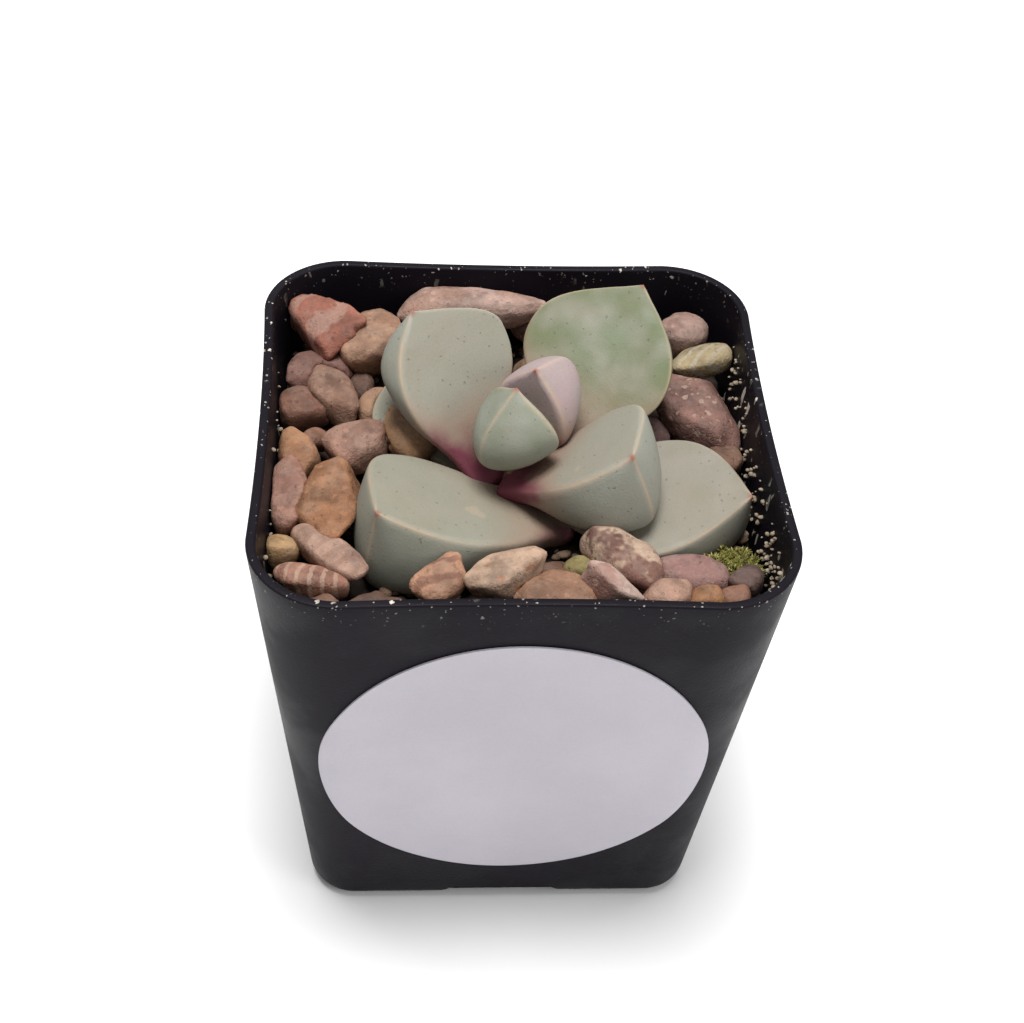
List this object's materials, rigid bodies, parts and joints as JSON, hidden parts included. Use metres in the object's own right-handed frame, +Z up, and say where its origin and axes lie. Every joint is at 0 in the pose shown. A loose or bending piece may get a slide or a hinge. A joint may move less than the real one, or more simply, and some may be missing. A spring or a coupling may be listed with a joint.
{
  "type": "potted split rock succulent",
  "caption": "Split rock succulent with thick keeled leaf pairs, bedded in river gravel in a small square tapered nursery pot with a blank oval label.",
  "frame": {"origin": "middle of the pot's foot, on the surface that it stands on", "axes": "+Z up out of the pot's mouth, -Y towards the wall that carries the label, +X to the right of that wall seen from outside"},
  "size_m": [0.064, 0.064, 0.073],
  "materials": {
    "pot_plastic": "matt black injection-moulded plastic, lightly dusted",
    "label_paper": "matt white paper",
    "leaf_skin": "glaucous grey-green waxy leaf skin",
    "stem_bark": "dry root crown",
    "moss": "yellow-green moss",
    "potting_soil": "dark damp potting mix",
    "stone_pink": "worn pinkish river gravel",
    "stone_tan": "worn tan river gravel",
    "stone_amber": "worn amber river gravel",
    "stone_brown": "worn brown river gravel",
    "stone_dark": "dark brown river gravel"
  },
  "bodies": {
    "root": {"pot": "pot_plastic", "label": "label_paper", "soil": "potting_soil", "stem": "stem_bark", "moss": "moss", "leaf_centre_front": "leaf_skin", "leaf_centre_back": "leaf_skin", "leaf_upright_left": "leaf_skin", "leaf_upright_right": "leaf_skin", "leaf_spread_front": "leaf_skin", "leaf_spread_back": "leaf_skin", "leaf_low_right": "leaf_skin", "leaf_low_left": "leaf_skin", "stone_rose_wedge": "stone_pink", "stone_dark_red": "stone_dark", "stone_tan_upright": "stone_tan", "stone_tan_back": "stone_tan", "stone_brown_left": "stone_brown", "stone_brown_slope": "stone_brown", "stone_dark_gap": "stone_dark", "stone_small_tan": "stone_tan", "stone_ochre_long": "stone_amber", "stone_pink_tan": "stone_pink", "stone_chip_brown": "stone_brown", "stone_orange_left": "stone_amber", "stone_pink_left": "stone_pink", "stone_amber_slab": "stone_amber", "stone_yellow_bead": "stone_amber", "stone_pink_slant": "stone_pink", "stone_striped_left": "stone_tan", "stone_striped_front": "stone_tan", "stone_pale_spotted": "stone_tan", "stone_tan_front": "stone_tan", "stone_green_chip": "stone_amber", "stone_dark_chip": "stone_dark", "stone_white_block": "stone_pink", "stone_cream_patched": "stone_brown", "stone_pink_long": "stone_pink", "stone_tan_small": "stone_tan", "stone_ochre_small": "stone_amber", "stone_brown_small": "stone_brown", "stone_slate_corner": "stone_dark", "stone_pink_back": "stone_pink", "stone_yellow_back": "stone_amber", "stone_mottled_large": "stone_brown", "stone_purple_gap": "stone_dark", "stone_pink_gap": "stone_pink", "stone_under_back": "stone_tan", "stone_under_corner": "stone_brown", "stone_under_middle": "stone_tan", "stone_under_left": "stone_tan", "stone_under_slope": "stone_brown", "stone_right_low": "stone_brown", "stone_front_dark": "stone_dark", "stone_corner_left": "stone_brown"}
  },
  "joints": []
}
